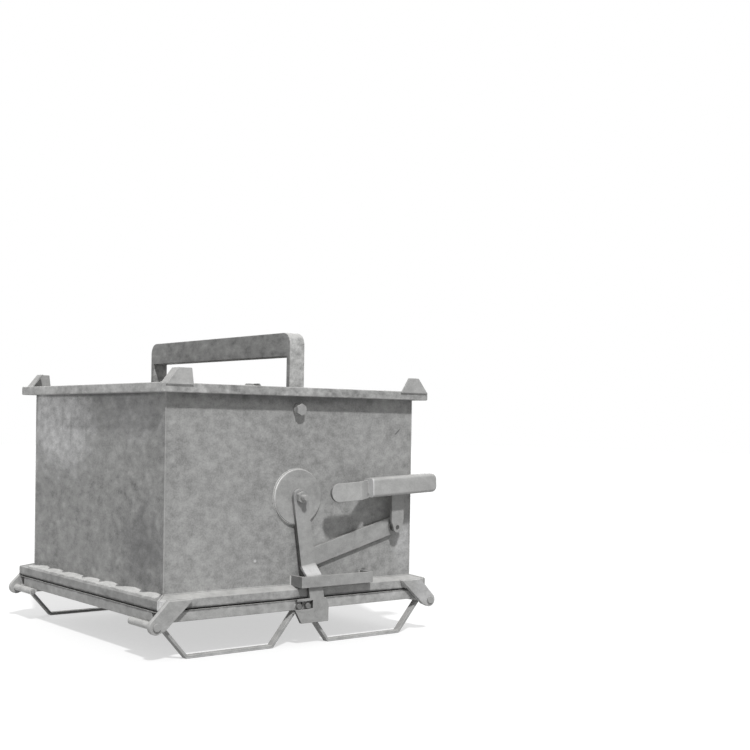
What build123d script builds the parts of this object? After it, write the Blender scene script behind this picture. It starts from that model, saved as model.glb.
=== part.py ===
from build123d import *
import math
import os

# Bottom-opening container for fork trucks: a square steel box whose floor is two flaps, hinged
# at the front and rear ends, held shut by a hook on each side and carried by a folding bail.
# X runs from the front end to the rear end, -Y is the side with the release handle, Z is up.
# The origin is the middle of the whole outline, on the ground: the pieces are drawn about the
# middle of the box and moved there at the end. Lengths are in millimetres.

# Box, rim and bottom frame
body_length = 1000.0
body_width = 1000.0
wall = 5.0
wall_height = 706.0
rim_out = 40.0
rim_height = 30.0
frame_out = 40.0
frame_height = 30.0
frame_rise = 12.0
section_wall = 3.0

# Corners that locate the feet of a container stacked on top
front_corner_length = 97.0
front_corner_inset = 16.0
front_corner_slope = 7.0
rear_corner_length = 122.0
rear_corner_inset = 3.0
rear_corner_slope = 34.0
corner_height = 48.0
corner_outer_slope = 43.0
corner_flange = 44.0
corner_plate = 6.0
corner_lap = 5.0

# Floor flaps
flap_depth = 35.0
flap_rail = 40.0
flap_plate = 5.0
flap_gap = 5.0
flap_side_gap = 2.0
flap_centre_play = 1.2

# Bent feet under the flaps
foot_height = 120.0
foot_bar = 10.0
foot_width = 26.0
foot_inset = 20.0
front_foot_inner_top = 10.0
front_foot_inner_bend = 108.0
rear_foot_inner_top = 24.0
rear_foot_inner_bend = 116.0
foot_outer_bend = 432.0
foot_outer_top = 529.0

# Flap hinges
knuckle_radius = 12.0
knuckle_length = 150.0
knuckle_gap = 0.5
hinge_drop = 7.0
hinge_pin_radius = 8.0
hinge_head_radius = 13.0
hinge_head = 6.0
hinge_pin_tail = 4.0
leaf_plate = 8.0
bracket_plate = 18.0
bracket_land = 12.0
bracket_length = 115.0
bracket_edge = 2.0
bracket_upper_angle = 45.0
bracket_lower_angle = 255.0
bracket_heel_inset = 31.0
bracket_heel_drop = 13.0

# Lifting bail
bail_bar = 20.0
bail_width = 60.0
bail_beam = 80.0
bail_bend = 20.0
bail_box_wall = 5.0
fork_gap = 106.0
bail_pivot_drop = 74.0
bail_pin_radius = 12.0
bail_spacer = 5.0
bail_washer = 10.0
bail_washer_radius = 21.0
bail_head_flats = 36.0
bail_head = 15.0
bail_nut = 19.0
bail_nut_gap = 0.5

# Latch shaft, its tube and round wall plates
shaft_radius = 20.0
shaft_rise = 337.0
shaft_end = 34.0
shaft_nut_flats = 36.0
shaft_nut = 14.0
shaft_thread_radius = 10.0
disc_radius = 94.0
disc_plate = 12.0
tube_radius = 30.0
tube_wall = 4.0
shaft_hole_play = 2.0

# Hook levers
lever_plate = 12.0
lever_tilt = 8.6
stem_width = 58.0
lever_gap = 2.0
lever_frame_gap = 4.0
joggle_drop = 6.0
joggle_height = 37.0
latch_swing = 22.0

# Keeper pins on the flaps and the hook around them
keeper_radius = 10.0
keeper_offset = 18.0
keeper_drop = 22.0
keeper_reach = 16.0
keeper_play = 0.3
notch_play = 7.0
hook_lip = 20.0
hook_taper = 10.0
hook_right = 100.0
hook_above = 25.0
hook_below = 57.0
hook_toe = 26.0

# Lever guides
guide_bar = 8.0
guide_height = 38.0
guide_gap = 4.0
guide_lift = 6.0
guide_left = -20.0
guide_right = 280.0

# Release arm, link strap and handle
arm_width = 61.5
arm_plate = 12.0
arm_tilt = 15.2
arm_root_x = 10.0
arm_root_rise = 118.1
arm_end = 14.0
link_x = 408.0
link_rise = 220.0
link_radius = 8.0
link_collar_radius = 14.0
link_recess = 3.0
link_gap = 8.0
strap_width = 55.0
strap_plate = 10.0
strap_eye_radius = 18.0
strap_taper = 24.0
grip_x = 253.0
grip_rise = 366.5
grip_tilt = 2.8
grip_length = 295.0
grip_height = 65.5
grip_depth = 52.0
grip_round = 11.0
grip_end_round = 20.0
grip_cap = 12.0
handle_bar_width = 63.0
handle_bar_plate = 12.0
handle_bar_reach = 181.0
handle_bar_drop = 5.5
handle_bar_inset = 14.0
handle_step = 34.0
handle_bend = 51.0
handle_bend_gap = 4.0
handle_tongue = 44.0

# Clearance of pins and shafts in their bores, and of pieces that slip over each other
running_fit = 0.05
slip_fit = 0.3

# Levels and outlines worked out from the sizes above
half_length = body_length / 2
half_width = body_width / 2
frame_x = half_length + frame_out
frame_y = half_width + frame_out
flap_bottom = foot_height
flap_top = flap_bottom + flap_depth
frame_bottom = flap_top + flap_gap
frame_top = frame_bottom + frame_height
rim_top = frame_bottom + wall_height
rim_bottom = rim_top - rim_height
flap_y = frame_y - flap_side_gap
hinge_x = frame_x + knuckle_radius + knuckle_gap
hinge_z = flap_bottom - hinge_drop
flap_swing_rise = flap_top - hinge_z
flap_centre = flap_swing_rise ** 2 / (2 * hinge_x) + flap_centre_play
shaft_z = frame_bottom + shaft_rise
lever_upper = half_width + disc_plate + lever_gap
lever_lower = frame_y + lever_frame_gap
guide_inner = lever_lower + lever_plate + guide_gap
guide_bottom = frame_top + guide_lift
guide_top = guide_bottom + guide_height
bail_outer = half_width - wall - bail_spacer
bail_pivot = rim_top - bail_pivot_drop
bail_under = rim_top + fork_gap
bail_top = bail_under + bail_beam
strap_inner = lever_upper + lever_plate + link_gap
grip_inner = strap_inner + strap_plate
handle_inner = grip_inner + handle_bar_inset
handle_outer = handle_inner + handle_bar_plate + handle_step
grip_z = frame_bottom + grip_rise
link_z = frame_bottom + link_rise
keeper_z = flap_top - keeper_drop
keeper_face = flap_y + keeper_reach
guide_face = guide_inner + guide_bar
side_shift = (handle_outer - guide_face) / 2
SIDES = {"latch": -1, "plain": 1}
ENDS = {"front": -1, "rear": 1}


def span(x0, x1, y0, y1, z0, z1):
    """Rectangular block between two corners."""
    middle = Pos((x0 + x1) / 2, (y0 + y1) / 2, (z0 + z1) / 2)
    return middle * Box(abs(x1 - x0), abs(y1 - y0), abs(z1 - z0))


def rod(x, z, radius, y0, y1):
    """Round bar along Y."""
    return Pos(x, (y0 + y1) / 2, z) * Rot(90, 0, 0) * Cylinder(radius, abs(y1 - y0))


def side_plate(points, y0, y1):
    """Plate with an outline in X and Z, between two Y values."""
    outline = Polyline(*[(x, y0, z) for x, z in points], close=True)
    return extrude(make_face(outline), amount=y1 - y0, dir=(0, 1, 0))


def cross_plate(points, x0, x1):
    """Plate with an outline in Y and Z, between two X values."""
    outline = Polyline(*[(x0, y, z) for y, z in points], close=True)
    return extrude(make_face(outline), amount=x1 - x0, dir=(1, 0, 0))


def bent_outline(points, thickness):
    """Edge view of a bent flat bar that has the given points along its right-hand side."""
    bar = offset(Polyline(*points), amount=thickness, side=Side.LEFT, kind=Kind.INTERSECTION)
    return make_face(bar)


def turned(point, centre, degrees):
    """A point in the XZ plane turned about a centre, from +X towards +Z."""
    angle = math.radians(degrees)
    dx = point[0] - centre[0]
    dz = point[1] - centre[1]
    x = centre[0] + dx * math.cos(angle) - dz * math.sin(angle)
    z = centre[1] + dx * math.sin(angle) + dz * math.cos(angle)
    return (x, z)


def mirrored(shape):
    """The same piece on the other side of the XZ plane."""
    return mirror(shape, about=Plane.XZ)


def end_wall(end):
    """Wall plate across the box at its front or rear end, between the side walls."""
    outer = ENDS[end] * half_length
    inner = ENDS[end] * (half_length - wall)
    reach = half_width - wall
    return span(inner, outer, -reach, reach, frame_bottom, rim_top)


def side_wall(side):
    """Full-length side wall with holes for the bail pin and the latch shaft."""
    outer = SIDES[side] * half_width
    inner = SIDES[side] * (half_width - wall)
    plate = span(-half_length, half_length, inner, outer, frame_bottom, rim_top)
    plate -= rod(0, bail_pivot, bail_pin_radius + slip_fit, inner, outer)
    plate -= rod(0, shaft_z, shaft_radius + shaft_hole_play, inner, outer)
    return plate


def ring_bar(profile, half_run, half_offset, width, turn):
    """Mitred hollow bar of a ring round the walls, from a profile of points (outward, height)."""
    reach = half_run + width
    section = make_face(Polyline(*[(0, -half_offset - u, z) for u, z in profile], close=True))
    hollow = offset(section, amount=-section_wall, kind=Kind.INTERSECTION)
    bar = extrude(section, amount=reach, dir=(1, 0, 0), both=True)
    bar -= extrude(hollow, amount=reach, dir=(1, 0, 0), both=True)
    low = min(z for u, z in profile)
    high = max(z for u, z in profile)
    corners = [
        (-reach, -half_offset - width, low),
        (reach, -half_offset - width, low),
        (half_run, -half_offset, low),
        (-half_run, -half_offset, low),
    ]
    mitres = extrude(make_face(Polyline(*corners, close=True)), amount=high - low, dir=(0, 0, 1))
    return Rot(0, 0, turn) * (bar & mitres)


def ring(profile, width):
    """The four bars of a ring, by the name of the side that each one lies on."""
    return {
        "latch": ring_bar(profile, half_length, half_width, width, 0),
        "rear": ring_bar(profile, half_width, half_length, width, 90),
        "plain": ring_bar(profile, half_length, half_width, width, 180),
        "front": ring_bar(profile, half_width, half_length, width, 270),
    }


def rim_profile():
    """Plain rectangular section of the rim."""
    return [(0, rim_bottom), (rim_out, rim_bottom), (rim_out, rim_top), (0, rim_top)]


def frame_profile():
    """Bottom frame section, whose top slopes up to the wall so that spill runs off it."""
    inner_top = frame_top + frame_rise
    return [(0, frame_bottom), (frame_out, frame_bottom), (frame_out, frame_top), (0, inner_top)]


def stacking_corner(end, side):
    """Upright plate lapped on the rim's face, with a flange folded back along its slanting outer edge."""
    inset = front_corner_inset if end == "front" else rear_corner_inset
    length = front_corner_length if end == "front" else rear_corner_length
    inner_slope = front_corner_slope if end == "front" else rear_corner_slope
    outer = half_length + rim_out - inset
    top = rim_top + corner_height
    low = rim_top - corner_lap
    rim_face = half_width + rim_out
    face = rim_face + corner_plate
    plate = side_plate([
        (outer, low),
        (outer - corner_outer_slope, top),
        (outer - length + inner_slope, top),
        (outer - length, low),
    ], rim_face, face)
    fold = corner_plate * math.hypot(top - low, corner_outer_slope) / (top - low)
    flange = side_plate([
        (outer, low),
        (outer - corner_outer_slope, top),
        (outer - corner_outer_slope - fold, top),
        (outer - fold, low),
    ], face - corner_flange, face)
    flange -= span(0, outer, half_width, rim_face, low, rim_top)
    corner = plate + flange
    if ENDS[end] < 0:
        corner = mirror(corner, about=Plane.YZ)
    if SIDES[side] < 0:
        corner = mirrored(corner)
    return corner


def hinge_bracket(end, side):
    """Plate on the frame's side that tapers down and out to the hinge axis."""
    sign = ENDS[end]
    end_radius = knuckle_radius + bracket_land
    low = math.radians(bracket_lower_angle)
    high = math.radians(bracket_upper_angle)
    edge_top = hinge_x + end_radius / math.cos(high) - (frame_top - hinge_z) * math.tan(high)
    outline = [
        (frame_x - bracket_length, frame_top),
        (edge_top, frame_top),
        (hinge_x + end_radius * math.cos(high), hinge_z + end_radius * math.sin(high)),
        (hinge_x + end_radius * math.cos(low), hinge_z + end_radius * math.sin(low)),
        (hinge_x - bracket_heel_inset, hinge_z - bracket_heel_drop),
        (frame_x - bracket_length, frame_top - bracket_edge),
    ]
    y0 = SIDES[side] * frame_y
    y1 = SIDES[side] * (frame_y + bracket_plate)
    plate = side_plate([(sign * x, z) for x, z in outline], y0, y1)
    plate += rod(sign * hinge_x, hinge_z, end_radius, y0, y1)
    return plate - rod(sign * hinge_x, hinge_z, hinge_pin_radius + running_fit, y0, y1)


def hinge_pins():
    """The four flap hinge pins, each headed outside its bracket."""
    pins = []
    for end_sign in ENDS.values():
        for side_sign in SIDES.values():
            face = frame_y + bracket_plate
            tail = flap_y - knuckle_length - hinge_pin_tail
            x = end_sign * hinge_x
            shank = rod(x, hinge_z, hinge_pin_radius, side_sign * tail, side_sign * face)
            head_end = side_sign * (face + hinge_head)
            head = rod(x, hinge_z, hinge_head_radius, side_sign * face, head_end)
            pins.append(shank + head)
    return Compound(pins)


def hollow_rail(x0, x1, y0, y1, along):
    """Hollow flap rail along X or Y, open at its ends."""
    rail = span(x0, x1, y0, y1, flap_bottom, flap_top)
    low = flap_bottom + section_wall
    high = flap_top - section_wall
    if along == "x":
        return rail - span(x0, x1, y0 + section_wall, y1 - section_wall, low, high)
    return rail - span(x0 + section_wall, x1 - section_wall, y0, y1, low, high)


def flap_side_rail(end, side):
    """Rail along a flap's side, under the frame's side bar."""
    xs = sorted((ENDS[end] * flap_centre, ENDS[end] * frame_x))
    ys = sorted((SIDES[side] * (flap_y - flap_rail), SIDES[side] * flap_y))
    return hollow_rail(xs[0], xs[1], ys[0], ys[1], "x")


def flap_cross_rail(end, inner):
    """Rail across a flap, between its side rails."""
    xs = sorted((ENDS[end] * inner, ENDS[end] * (inner + flap_rail)))
    reach = flap_y - flap_rail
    return hollow_rail(xs[0], xs[1], -reach, reach, "y")


def flap_floor(end):
    """Floor plate that lies between a flap's rails, level with their tops."""
    x0 = ENDS[end] * (flap_centre + flap_rail)
    x1 = ENDS[end] * (frame_x - flap_rail)
    reach = flap_y - flap_rail
    return span(x0, x1, -reach, reach, flap_top - flap_plate, flap_top)


def hinge_leaves(end):
    """Two leaves welded under a flap's end rail, each with a tube for the hinge pin."""
    sign = ENDS[end]
    leaves = []
    for side_sign in SIDES.values():
        y0 = side_sign * (flap_y - knuckle_length)
        y1 = side_sign * flap_y
        leaf_x = sign * (frame_x - flap_rail)
        leaf = span(leaf_x, sign * hinge_x, y0, y1, flap_bottom - leaf_plate, flap_bottom)
        leaf += rod(sign * hinge_x, hinge_z, knuckle_radius, y0, y1)
        leaves.append(leaf - rod(sign * hinge_x, hinge_z, hinge_pin_radius + running_fit, y0, y1))
    return Compound(leaves)


def foot(end, side):
    """Flat bar bent into a shallow trough, which the container stands on."""
    seat = flap_bottom - leaf_plate
    inner_top = front_foot_inner_top if end == "front" else rear_foot_inner_top
    inner_bend = front_foot_inner_bend if end == "front" else rear_foot_inner_bend
    inner_slope = (inner_bend - inner_top) / flap_bottom
    outer_slope = (foot_outer_top - foot_outer_bend) / seat
    over = foot_bar
    path = [
        (inner_top - inner_slope * over, flap_bottom + over),
        (inner_bend, 0),
        (foot_outer_bend, 0),
        (foot_outer_top + outer_slope * over, seat + over),
    ]
    middle = SIDES[side] * (flap_y - foot_inset)
    y0 = middle - foot_width / 2
    bar = extrude(bent_outline(path, foot_bar), amount=foot_width, dir=(0, 0, 1))
    bar = Pos(0, y0 + foot_width, 0) * Rot(90, 0, 0) * bar
    leaf_x = frame_x - flap_rail
    trim_top = flap_bottom + 2 * foot_bar
    bar -= span(0, leaf_x, y0, y0 + foot_width, flap_bottom, trim_top)
    bar -= span(foot_outer_bend, frame_x + foot_outer_top, y0, y0 + foot_width, seat, trim_top)
    if ENDS[end] < 0:
        bar = mirror(bar, about=Plane.YZ)
    return bar


def keepers(end):
    """Round pins on a flap's sides that the hooks hold."""
    x = ENDS[end] * keeper_offset
    pins = []
    for sign in SIDES.values():
        pins.append(rod(x, keeper_z, keeper_radius, sign * flap_y, sign * keeper_face))
    return Compound(pins)


def bail_strap():
    """Flat bar bent into an arch, with an eye at the lower end of each leg."""
    outer_bend = bail_bend + bail_bar
    half = bail_width / 2
    inner_y = bail_outer - bail_bar
    arch = span(-half, half, -bail_outer, bail_outer, bail_pivot, bail_top)
    arch = fillet(arch.edges().filter_by(Axis.X).group_by(Axis.Z)[-1], outer_bend)
    inside = span(-half, half, -inner_y, inner_y, bail_pivot, bail_top - bail_bar)
    inside = fillet(inside.edges().filter_by(Axis.X).group_by(Axis.Z)[-1], bail_bend)
    arch -= inside
    for sign in SIDES.values():
        arch += rod(0, bail_pivot, half, sign * inner_y, sign * bail_outer)
        arch -= rod(0, bail_pivot, bail_pin_radius + running_fit, sign * inner_y, sign * bail_outer)
    return arch


def bail_box():
    """Hollow stiffener under the arch's top run, which rests on the forks."""
    half = bail_width / 2
    reach = bail_outer - bail_bar
    top = bail_top - bail_bar
    relief = bail_bend + slip_fit
    outline = [
        (-reach, bail_under),
        (reach, bail_under),
        (reach, top - relief),
        (reach - relief, top),
        (relief - reach, top),
        (-reach, top - relief),
    ]
    box = cross_plate(outline, -half, half)
    inner = half - bail_box_wall
    return box - span(-inner, inner, -reach, reach, bail_under + bail_box_wall, top - bail_box_wall)


def hexagon(z, flats, y0, y1):
    """Hexagon nut or bolt head about the bail axis or the shaft."""
    radius = flats / math.sqrt(3)
    corners = [math.radians(60 * i) for i in range(6)]
    return side_plate([(radius * math.sin(a), z + radius * math.cos(a)) for a in corners], y0, y1)


def bail_pins():
    """Bolts that the bail turns on, with their heads outside the side walls."""
    pins = []
    for sign in SIDES.values():
        face = half_width + bail_washer
        tail = bail_outer - bail_bar - bail_nut_gap - bail_nut - section_wall
        pin = rod(0, bail_pivot, bail_pin_radius, sign * tail, sign * face)
        pins.append(pin + hexagon(bail_pivot, bail_head_flats, sign * face, sign * (face + bail_head)))
    return Compound(pins)


def bail_washers():
    """Outer washers and the inner spacers that keep the bail legs off the walls."""
    rings = []
    for sign in SIDES.values():
        for y0, y1 in ((half_width, half_width + bail_washer), (bail_outer, bail_outer + bail_spacer)):
            ring_solid = rod(0, bail_pivot, bail_washer_radius, sign * y0, sign * y1)
            hole = rod(0, bail_pivot, bail_pin_radius + running_fit, sign * y0, sign * y1)
            rings.append(ring_solid - hole)
    return Compound(rings)


def bail_nuts():
    """Nuts on the inner ends of the bail bolts."""
    nuts = []
    for sign in SIDES.values():
        y1 = bail_outer - bail_bar - bail_nut_gap
        y0 = y1 - bail_nut
        nut = hexagon(bail_pivot, bail_head_flats, sign * y0, sign * y1)
        nuts.append(nut - rod(0, bail_pivot, bail_pin_radius + running_fit, sign * y0, sign * y1))
    return Compound(nuts)


def bearing_disc(side):
    """Round plate on a side wall that carries one end of the latch shaft."""
    y0 = SIDES[side] * half_width
    y1 = SIDES[side] * (half_width + disc_plate)
    return rod(0, shaft_z, disc_radius, y0, y1) - rod(0, shaft_z, shaft_radius + running_fit, y0, y1)


def cross_tube():
    """Tube across the load space that keeps the load off the latch shaft."""
    reach = half_width - wall
    bore = rod(0, shaft_z, tube_radius - tube_wall, -reach, reach)
    return rod(0, shaft_z, tube_radius, -reach, reach) - bore


def cross_shaft():
    """Shaft that turns both hook levers together, with a thread at each end for a nut."""
    reach = lever_upper + lever_plate
    shaft = rod(0, shaft_z, shaft_radius, -reach, reach)
    return shaft + rod(0, shaft_z, shaft_thread_radius, -reach - shaft_end, reach + shaft_end)


def shaft_nuts():
    """Nuts that clamp the hook levers on the ends of the shaft."""
    nuts = []
    for sign in SIDES.values():
        y0 = sign * (lever_upper + lever_plate)
        y1 = y0 + sign * shaft_nut
        bore = rod(0, shaft_z, shaft_thread_radius + running_fit, y0, y1)
        nuts.append(hexagon(shaft_z, shaft_nut_flats, y0, y1) - bore)
    return Compound(nuts)


def lever_guide(side):
    """Bent strap that keeps a lever against the frame, welded to the wall and the frame's slope."""
    path = [
        (guide_left, -half_width),
        (guide_left, -guide_face),
        (guide_right, -guide_face),
        (guide_right, -half_width),
    ]
    strap = extrude(bent_outline(path, guide_bar), amount=guide_height, dir=(0, 0, 1))
    strap = Pos(0, 0, guide_bottom) * strap
    slope = [(-half_width - u, z) for u, z in frame_profile()]
    strap -= cross_plate(slope, guide_left, guide_right)
    if SIDES[side] > 0:
        strap = mirrored(strap)
    return strap


def lever_outline():
    """Front view of a straight lever below the shaft, without its round top."""
    length = (shaft_z - keeper_z - hook_above) / math.cos(math.radians(lever_tilt)) + stem_width / 2
    half = stem_width / 2
    return [(-half, 0), (half, 0), (half, -length), (-half, -length)]


def hook_plate():
    """Plate at a lever's foot with a notch that slips over both keeper pins from the rear."""
    left = -keeper_offset - hook_lip
    bottom = keeper_z - hook_below
    outline = [
        (left + hook_taper, keeper_z + hook_above),
        (left, keeper_z - keeper_radius),
        (left + hook_toe, bottom),
        (hook_right, bottom),
        (hook_right, keeper_z),
        (hook_right - hook_taper, keeper_z + hook_above),
    ]
    y0 = -lever_lower - lever_plate
    plate = side_plate(outline, y0, -lever_lower)
    reach = math.hypot(keeper_offset, shaft_z - keeper_z)
    notch = rod(0, shaft_z, reach + keeper_radius + keeper_play, y0, -lever_lower)
    notch -= rod(0, shaft_z, reach - keeper_radius - notch_play, y0, -lever_lower)
    end_x = keeper_offset + keeper_radius + notch_play
    notch &= span(-reach, end_x, y0, -lever_lower, bottom, shaft_z)
    return plate - notch


def hook_lever(side):
    """Lever with a hook: it hangs from the shaft, and joggles outward to pass over the frame."""
    cosine = math.cos(math.radians(lever_tilt))
    joggle_end = (shaft_z - guide_top + joggle_drop) / cosine
    bar = side_plate(lever_outline(), -lever_lower - lever_plate, -lever_upper)
    bar += rod(0, 0, stem_width / 2, -lever_lower - lever_plate, -lever_upper)
    top = stem_width
    bottom = -(shaft_z - keeper_z + hook_below) / cosine
    path = [
        (-lever_lower, bottom),
        (-lever_lower, -joggle_end),
        (-lever_upper, joggle_height - joggle_end),
        (-lever_upper, top),
    ]
    sheet = extrude(bent_outline(path, lever_plate), amount=stem_width, dir=(0, 0, 1), both=True)
    sheet = Plane.YZ * sheet
    bar &= sheet
    bar = Pos(0, 0, shaft_z) * Rot(0, -lever_tilt, 0) * bar
    bar -= span(-half_length, half_length, -lever_lower - lever_plate, -lever_lower,
                keeper_z - hook_below, keeper_z + hook_above)
    lever = bar + hook_plate()
    lever -= rod(0, shaft_z, shaft_radius + running_fit, -lever_lower - lever_plate, -lever_upper)
    if SIDES[side] > 0:
        lever = mirrored(lever)
    return lever


def release_arm():
    """Arm welded behind the handle side's lever, which carries the handle at its far end."""
    root = (arm_root_x, frame_bottom + arm_root_rise)
    half = arm_width / 2
    length = (link_x + arm_end - arm_root_x) / math.cos(math.radians(arm_tilt))
    corners = [(0, -half), (length, -half), (length, half), (0, half)]
    points = [turned((root[0] + u, root[1] + v), root, arm_tilt) for u, v in corners]
    arm = side_plate(points, -lever_upper, arm_plate - lever_upper)
    return arm - rod(link_x, link_z, link_radius + running_fit, -lever_upper, arm_plate - lever_upper)


def link_boss():
    """Collared stud welded to the arm's far end, which the strap stands off the arm on."""
    tip = -strap_inner - strap_plate + link_recess
    stud = rod(link_x, link_z, link_radius, tip, arm_plate - lever_upper)
    return stud + rod(link_x, link_z, link_collar_radius, -strap_inner, -lever_upper)


def link_strap():
    """Strap that tapers to an eye on the boss, welded to the back of the grip at its top."""
    half = strap_width / 2
    y0 = -strap_inner - strap_plate
    neck = link_z + strap_taper
    top = grip_z + (link_x - grip_x) * math.tan(math.radians(grip_tilt)) + grip_round
    strap = side_plate([
        (link_x - half, top),
        (link_x - half, neck),
        (link_x - strap_eye_radius, link_z),
        (link_x + strap_eye_radius, link_z),
        (link_x + half, neck),
        (link_x + half, top),
    ], y0, -strap_inner)
    strap += rod(link_x, link_z, strap_eye_radius, y0, -strap_inner)
    return strap - rod(link_x, link_z, link_radius + running_fit, y0, -strap_inner)


def on_grip(shape):
    """Place a piece drawn along +X from the grip's inner end at the grip's slope."""
    return Pos(grip_x, 0, grip_z) * Rot(0, -grip_tilt, 0) * shape


def handle_bar():
    """Flat bar with a round free end, which steps back into the grip and narrows to a tongue there."""
    half = handle_bar_width / 2
    inset = handle_inner + handle_bar_plate
    round_x = half - handle_bar_reach
    path = [
        (round_x, -handle_outer),
        (-handle_bend_gap - handle_bend, -handle_outer),
        (-handle_bend_gap, -inset),
        (0, -inset),
    ]
    bar = extrude(bent_outline(path, handle_bar_plate), amount=half, dir=(0, 0, 1), both=True)
    bar += rod(round_x, 0, half, -handle_outer, handle_bar_plate - handle_outer)
    bar = Pos(0, 0, -handle_bar_drop) * bar
    tongue_half = handle_tongue / 2
    tongue_end = grip_length - grip_cap - slip_fit
    bar += span(-handle_bend_gap, tongue_end, -inset, -handle_inner, -tongue_half, tongue_half)
    return on_grip(bar)


def handle_grip():
    """Heavy block, rounded at its free end, with a pocket for the tongue of the handle bar."""
    half = grip_height / 2
    block = span(0, grip_length, -grip_inner - grip_depth, -grip_inner, -half, half)
    block = fillet(block.edges().filter_by(Axis.Y).sort_by(Axis.X)[-2:], grip_end_round)
    outlines = [edge for face in block.faces().filter_by(Axis.Y) for edge in face.edges()]
    block = fillet([edge for edge in outlines if edge.center().X > slip_fit], grip_round)
    pocket_half = handle_tongue / 2 + slip_fit
    pocket = span(0, grip_length - grip_cap, -handle_inner - handle_bar_plate - slip_fit,
                  -handle_inner + slip_fit, -pocket_half, pocket_half)
    return on_grip(block - pocket)


def build():
    """Every piece of the container, by name."""
    pieces = {}
    for end in ENDS:
        pieces[end + "_wall"] = end_wall(end)
    for side in SIDES:
        pieces[side + "_wall"] = side_wall(side)
        pieces[side + "_disc"] = bearing_disc(side)
        pieces[side + "_guide"] = lever_guide(side)
        pieces[side + "_lever"] = hook_lever(side)
    for name, bar in ring(rim_profile(), rim_out).items():
        pieces["rim_" + name] = bar
    for name, bar in ring(frame_profile(), frame_out).items():
        pieces["frame_" + name] = bar
    for end in ENDS:
        for side in SIDES:
            place = end + "_" + side
            pieces["stacking_corner_" + place] = stacking_corner(end, side)
            pieces["hinge_bracket_" + place] = hinge_bracket(end, side)
            pieces["flap_side_rail_" + place] = flap_side_rail(end, side)
            pieces["foot_" + place] = foot(end, side)
        pieces["flap_floor_" + end] = flap_floor(end)
        pieces["flap_centre_rail_" + end] = flap_cross_rail(end, flap_centre)
        pieces["flap_end_rail_" + end] = flap_cross_rail(end, frame_x - flap_rail)
        pieces["hinge_leaves_" + end] = hinge_leaves(end)
        pieces["keepers_" + end] = keepers(end)
    pieces["hinge_pins"] = hinge_pins()
    pieces["bail_strap"] = bail_strap()
    pieces["bail_box"] = bail_box()
    pieces["bail_pins"] = bail_pins()
    pieces["bail_washers"] = bail_washers()
    pieces["bail_nuts"] = bail_nuts()
    pieces["cross_tube"] = cross_tube()
    pieces["cross_shaft"] = cross_shaft()
    pieces["shaft_nuts"] = shaft_nuts()
    pieces["release_arm"] = release_arm()
    pieces["link_boss"] = link_boss()
    pieces["link_strap"] = link_strap()
    pieces["handle_bar"] = handle_bar()
    pieces["handle_grip"] = handle_grip()
    return pieces


os.makedirs("parts", exist_ok=True)
for node, piece in build().items():
    export_step(Pos(0, side_shift, 0) * piece, "parts/" + node + ".step")
print("sideways shift", side_shift)
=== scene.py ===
import itertools
import math

import bpy
from mathutils import Matrix, Vector


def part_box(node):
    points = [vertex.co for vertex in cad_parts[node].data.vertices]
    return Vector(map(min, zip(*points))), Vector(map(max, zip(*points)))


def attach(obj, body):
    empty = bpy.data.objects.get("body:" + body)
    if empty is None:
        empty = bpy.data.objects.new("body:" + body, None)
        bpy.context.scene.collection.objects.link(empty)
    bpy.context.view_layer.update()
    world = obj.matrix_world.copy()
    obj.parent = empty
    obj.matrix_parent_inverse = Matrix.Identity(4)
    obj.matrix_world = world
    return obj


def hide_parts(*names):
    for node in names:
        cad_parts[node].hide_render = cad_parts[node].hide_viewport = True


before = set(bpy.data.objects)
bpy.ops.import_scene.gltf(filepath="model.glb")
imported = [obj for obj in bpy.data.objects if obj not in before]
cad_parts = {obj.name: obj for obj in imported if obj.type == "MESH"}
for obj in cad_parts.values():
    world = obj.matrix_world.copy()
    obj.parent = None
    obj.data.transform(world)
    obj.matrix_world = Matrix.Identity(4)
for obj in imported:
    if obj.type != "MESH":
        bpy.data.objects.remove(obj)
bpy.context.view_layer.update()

# The four walls: 5 mm steel sheet, cut square and welded up the corners, inside the rim and the bottom
# frame. They are slightly dished between the welds. The paint outside is chalky and mottled with age,
# and the inside is scoured by the loads and dusty.
wall_ends = (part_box("front_wall")[0].x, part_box("rear_wall")[1].x)
wall_sides = (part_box("latch_wall")[0].y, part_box("plain_wall")[1].y)
middle = (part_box("latch_wall")[0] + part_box("plain_wall")[1]) / 2
front_face = wall_ends[0]
latch_face = wall_sides[0]
sheet_cuts = 27
dent_core = 0.03
facing_in = 0.7


def clear():
    """Closes any open mesh and lets go of everything."""
    if bpy.context.mode != "OBJECT":
        bpy.ops.object.mode_set(mode="OBJECT")
    bpy.ops.object.select_all(action="DESELECT")


def take(piece):
    """Only this piece is selected, and it is the active one."""
    clear()
    piece.select_set(True)
    bpy.context.view_layer.objects.active = piece
    return piece


def settle(piece):
    """The piece's place goes into its mesh."""
    take(piece)
    bpy.ops.object.transform_apply(location=True, rotation=True, scale=True)
    return piece


def pick(piece, kind, test):
    """Opens the mesh with those points or edges selected that pass the test."""
    take(piece)
    bpy.ops.object.mode_set(mode="EDIT")
    bpy.ops.mesh.select_mode(type=kind)
    bpy.ops.mesh.select_all(action="DESELECT")
    bpy.ops.object.mode_set(mode="OBJECT")
    mesh = piece.data
    if kind == "VERT":
        for point in mesh.vertices:
            point.select = test(point.co)
    else:
        for edge in mesh.edges:
            edge.select = test(*(mesh.vertices[i].co for i in edge.vertices))
    bpy.ops.object.mode_set(mode="EDIT")


def block(name, low, high):
    """A squared blank between two corners."""
    low, high = Vector(low), Vector(high)
    clear()
    bpy.ops.mesh.primitive_cube_add(size=1, location=(low + high) / 2, scale=high - low)
    piece = bpy.context.active_object
    piece.name = name
    return settle(piece)


def joined(name, pieces):
    """Several pieces made one."""
    clear()
    for piece in pieces:
        piece.select_set(True)
    bpy.context.view_layer.objects.active = pieces[0]
    if len(pieces) > 1:
        bpy.ops.object.join()
    pieces[0].name = name
    return pieces[0]


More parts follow.
